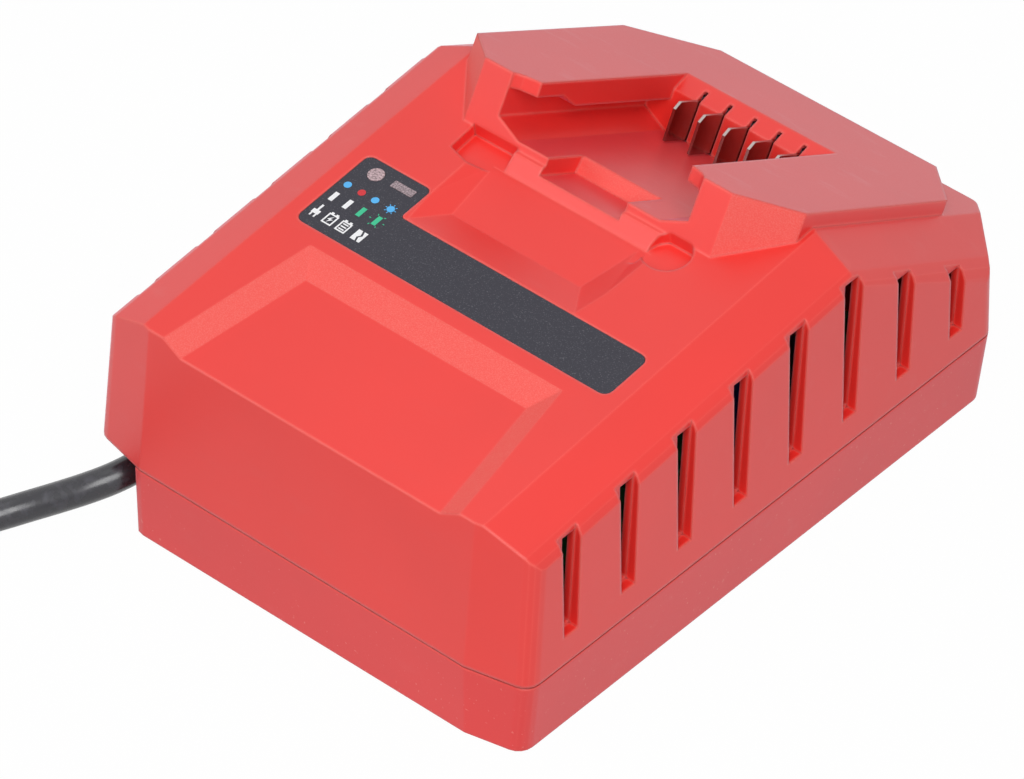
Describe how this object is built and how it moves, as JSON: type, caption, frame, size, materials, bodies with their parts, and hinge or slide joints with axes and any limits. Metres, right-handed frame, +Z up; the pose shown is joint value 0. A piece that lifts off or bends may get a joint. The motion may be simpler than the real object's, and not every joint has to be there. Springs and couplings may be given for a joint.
{
  "type": "power tool battery charger",
  "caption": "Bench charger with a sloping slide-in channel and blade contacts for one tool battery, side vents, status label, mains cord and plug.",
  "frame": {"origin": "on the floor under the middle of the case, at the underside of the feet", "axes": "+X to the case's right-hand side, +Y to the back, away from the grip recess, +Z up"},
  "size_m": [0.1622, 0.4232, 0.0923],
  "materials": {
    "red_shell": "fine satin grain",
    "red_tray": "satin",
    "dark_label": "fine grained film with printed marks",
    "lens": "clear tinted",
    "black_plastic": "satin",
    "contact_metal": "nickel plated",
    "steel_screw": "zinc plated",
    "circuit_board": "solder resist",
    "ferrite": "matt",
    "winding_tape": "yellow tape",
    "copper_wire": "enamelled",
    "capacitor_sleeve": "shrink sleeve",
    "capacitor_box": "moulded box",
    "heatsink_metal": "bare extrusion",
    "chip_plastic": "moulded",
    "led_resin": "diffuse",
    "terminal_plastic": "moulded",
    "foot_rubber": "matt",
    "cord_jacket": "satin"
  },
  "bodies": {
    "root": {"top_cover": "red_shell", "bottom_tray": "red_tray", "rubber_feet": "foot_rubber", "case_screws": "steel_screw", "label_plate": "dark_label", "round_window": "lens", "bar_window": "lens", "contact_carrier": "black_plastic", "contact_blade_1": "contact_metal", "contact_blade_2": "contact_metal", "contact_blade_3": "contact_metal", "contact_blade_4": "contact_metal", "contact_blade_5": "contact_metal", "main_board": "circuit_board", "board_screws": "steel_screw", "led_board": "circuit_board", "led_board_screws": "steel_screw", "status_leds": "led_resin", "transformer_core": "ferrite", "transformer_bobbin": "black_plastic", "transformer_winding": "winding_tape", "choke_core": "ferrite", "choke_winding": "copper_wire", "noise_capacitor": "capacitor_box", "bulk_capacitor": "capacitor_sleeve", "output_capacitors": "capacitor_sleeve", "bridge_rectifier": "chip_plastic", "fuse": "chip_plastic", "primary_heatsink": "heatsink_metal", "power_switch": "chip_plastic", "secondary_heatsink": "heatsink_metal", "output_diode": "chip_plastic", "control_chips": "chip_plastic", "mains_terminal": "terminal_plastic", "cord_clamp": "black_plastic", "clamp_screw": "steel_screw", "strain_relief": "black_plastic", "mains_cord": "cord_jacket", "cord_coil": "cord_jacket", "cord_tie": "black_plastic", "plug_relief": "black_plastic", "plug_body": "black_plastic", "plug_pins": "contact_metal"}
  },
  "joints": []
}
